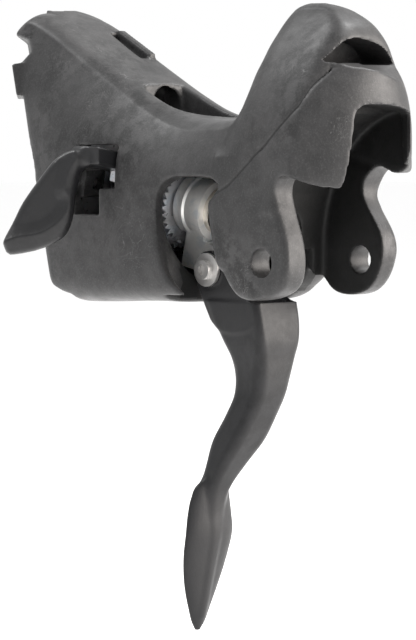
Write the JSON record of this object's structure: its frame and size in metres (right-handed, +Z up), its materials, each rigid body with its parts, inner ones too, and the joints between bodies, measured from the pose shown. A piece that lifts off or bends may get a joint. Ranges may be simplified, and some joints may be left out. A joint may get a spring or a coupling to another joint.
{
  "type": "brake shift lever",
  "caption": "Left drop-bar brake and shift control body with forked nose for a brake blade, hinged finger lever, thumb lever and an indexed cable spool.",
  "frame": {"origin": "centre of the brake blade's pivot hole, midway between the outer faces of the two ears", "axes": "+X along the pivot towards the outer ear, +Y rearward towards the handlebar, +Z up; the thumb lever is on the -X side"},
  "size_m": [0.0493, 0.1048, 0.126],
  "materials": {
    "body_composite": "moulded fibre-filled nylon, fine matte with faint flow mottling",
    "lever_composite": "moulded fibre-filled nylon, smooth satin black",
    "thumb_nylon": "moulded nylon, fine spark-eroded matte",
    "inner_nylon": "moulded acetal, satin",
    "cast_alloy": "machined and greased",
    "stainless": "turned stainless steel",
    "hard_steel": "stamped and hardened steel",
    "spring_wire": "drawn spring wire",
    "bronze": "sintered bronze, oiled"
  },
  "bodies": {
    "body": {"body_moulding": "body_composite", "front_bush": "bronze", "axle_bolt": "stainless", "axle_nut": "stainless", "rear_washer": "stainless", "rear_plate": "hard_steel", "plate_screws": "stainless", "spring_carrier": "inner_nylon", "index_spring_upper": "spring_wire", "index_spring_lower": "spring_wire", "finger_return_spring": "spring_wire", "thumb_return_spring": "spring_wire"},
    "spool": {"cable_spool": "inner_nylon", "finger_ratchet": "hard_steel", "index_gear": "hard_steel", "thumb_ratchet": "hard_steel", "spool_sleeve": "bronze", "spool_spring": "spring_wire"},
    "finger_carrier": {"finger_carrier": "cast_alloy", "carrier_bush": "bronze", "finger_pawl_pin": "stainless", "finger_pawl_spring": "spring_wire", "hinge_bush": "bronze"},
    "finger_pawl": {"finger_pawl": "hard_steel"},
    "finger_lever": {"finger_lever": "lever_composite", "hinge_screw": "stainless", "hinge_washer": "stainless", "hinge_nut": "stainless", "fold_spring": "spring_wire"},
    "thumb_lever": {"thumb_lever": "thumb_nylon", "thumb_hub": "hard_steel", "thumb_bush": "bronze", "thumb_pawl_pin": "stainless", "thumb_pawl_spring": "spring_wire", "lever_screws": "stainless"},
    "thumb_pawl": {"thumb_pawl": "hard_steel"}
  },
  "joints": [
    {"name": "finger_swing", "type": "hinge", "parent": "body", "child": "finger_carrier", "pos_m": [0, 0.032, 0.0104], "axis": [0, 0.9781, 0.2079], "range_deg": [0, 20], "stiffness_Nm_per_rad": 0.03},
    {"name": "finger_fold", "type": "hinge", "parent": "finger_carrier", "child": "finger_lever", "pos_m": [0, 0.024, -0.0022], "axis": [1, 0, 0], "range_deg": [0, 20], "stiffness_Nm_per_rad": 0.02},
    {"name": "thumb_swing", "type": "hinge", "parent": "body", "child": "thumb_lever", "pos_m": [0, 0.032, 0.0104], "axis": [0, -0.9781, -0.2079], "range_deg": [0, 12], "stiffness_Nm_per_rad": 0.03},
    {"name": "spool_turn", "type": "hinge", "parent": "body", "child": "spool", "pos_m": [0, 0.032, 0.0104], "axis": [0, 0.9781, 0.2079], "range_deg": [0, 70]},
    {"name": "finger_pawl_lift", "type": "hinge", "parent": "finger_carrier", "child": "finger_pawl", "pos_m": [0.0072, 0.03462, 0.01973], "axis": [0, -0.9781, -0.2079], "range_deg": [0, 14], "stiffness_Nm_per_rad": 0.002},
    {"name": "thumb_pawl_lift", "type": "hinge", "parent": "thumb_lever", "child": "thumb_pawl", "pos_m": [0.00858, 0.04195, 0.01987], "axis": [0, 0.9781, 0.2079], "range_deg": [0, 14], "stiffness_Nm_per_rad": 0.002}
  ]
}
